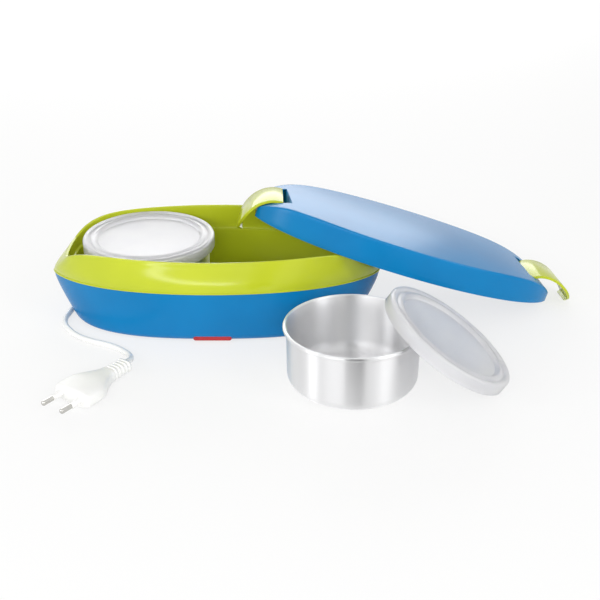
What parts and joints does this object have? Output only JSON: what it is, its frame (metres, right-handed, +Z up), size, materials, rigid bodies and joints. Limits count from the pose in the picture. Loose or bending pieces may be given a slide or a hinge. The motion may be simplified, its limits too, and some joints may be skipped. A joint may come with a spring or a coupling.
{
  "type": "electric lunch box",
  "caption": "Boat-shaped electric lunch box: heated tray for round steel containers with clear lids, lift-off lid with hinged end latches, and a mains lead with a plug.",
  "frame": {"origin": "centre of the base's footprint, on the table under its feet", "axes": "+X along the base towards its right end, +Y away from its front, +Z up"},
  "size_m": [0.4415, 0.354, 0.0983],
  "materials": {
    "blue_plastic": "glossy, lightly rounded edges",
    "green_plastic": "glossy lime green",
    "aluminium": "plain cast and turned",
    "ceramic": "matte ceramic",
    "spring_steel": "plain",
    "black_plastic": "matte",
    "cream_plastic": "matte",
    "wire": "matte sleeve",
    "lamp_glass": "clear",
    "red_lens": "glossy, see-through red",
    "screw_steel": "nickel plated",
    "rubber": "matte",
    "white_cord": "satin white",
    "white_plastic": "satin white",
    "tie": "matte",
    "pin_metal": "nickel plated",
    "steel": "polished stainless steel",
    "frosted_lid": "frosted, see-through",
    "seal": "satin silicone"
  },
  "bodies": {
    "base": {"lower_shell": "blue_plastic", "inner_tray": "green_plastic", "heater_plate_left": "aluminium", "heater_plate_right": "aluminium", "ptc_heater_left": "ceramic", "ptc_heater_right": "ceramic", "heater_strap_left": "spring_steel", "heater_strap_right": "spring_steel", "thermostat": "black_plastic", "thermal_fuse": "ceramic", "terminal_block": "cream_plastic", "wiring": "wire", "neon_lamp": "lamp_glass", "indicator_lens": "red_lens", "shell_screws": "screw_steel", "rubber_feet": "rubber", "cord_gland": "white_plastic", "cord_clamp": "cream_plastic", "cord_tail": "white_cord", "cord_coil": "white_cord", "cord_lead": "white_cord", "cord_tie": "tie", "plug_body": "white_plastic", "plug_pins": "pin_metal"},
    "latch_left": {"latch_left": "green_plastic"},
    "latch_right": {"latch_right": "green_plastic"},
    "container_left": {"container_left": "steel"},
    "container_left_lid": {"container_left_lid": "frosted_lid", "container_left_seal": "seal"},
    "container_right": {"container_right": "steel"},
    "container_right_lid": {"container_right_lid": "frosted_lid", "container_right_seal": "seal"},
    "lid": {"lid_shell": "blue_plastic", "latch_pins": "screw_steel"}
  },
  "joints": [
    {"name": "lid_lift", "type": "slide", "parent": "base", "child": "lid", "axis": [0, 0, 1], "range_m": [0, 0.12]},
    {"name": "latch_left_hinge", "type": "hinge", "parent": "lid", "child": "latch_left", "pos_m": [0.05212, 0.01761, 0.0909], "axis": [-0.0334, 0.9939, -0.1055], "range_deg": [0, 100]},
    {"name": "latch_right_hinge", "type": "hinge", "parent": "lid", "child": "latch_right", "pos_m": [0.26797, 0.01761, 0.02258], "axis": [0.0334, -0.9939, 0.1055], "range_deg": [-35.9, 64]},
    {"name": "container_left_lift", "type": "slide", "parent": "base", "child": "container_left", "axis": [0, 0, 1], "range_m": [0, 0.08]},
    {"name": "container_left_lid_lift", "type": "slide", "parent": "container_left", "child": "container_left_lid", "axis": [0, 0, 1], "range_m": [0, 0.06]},
    {"name": "container_right_lift", "type": "slide", "parent": "base", "child": "container_right", "axis": [0, 0, 1], "range_m": [0, 0.08]},
    {"name": "container_right_lid_lift", "type": "slide", "parent": "container_right", "child": "container_right_lid", "axis": [0, 0, 1], "range_m": [0, 0.06]}
  ]
}
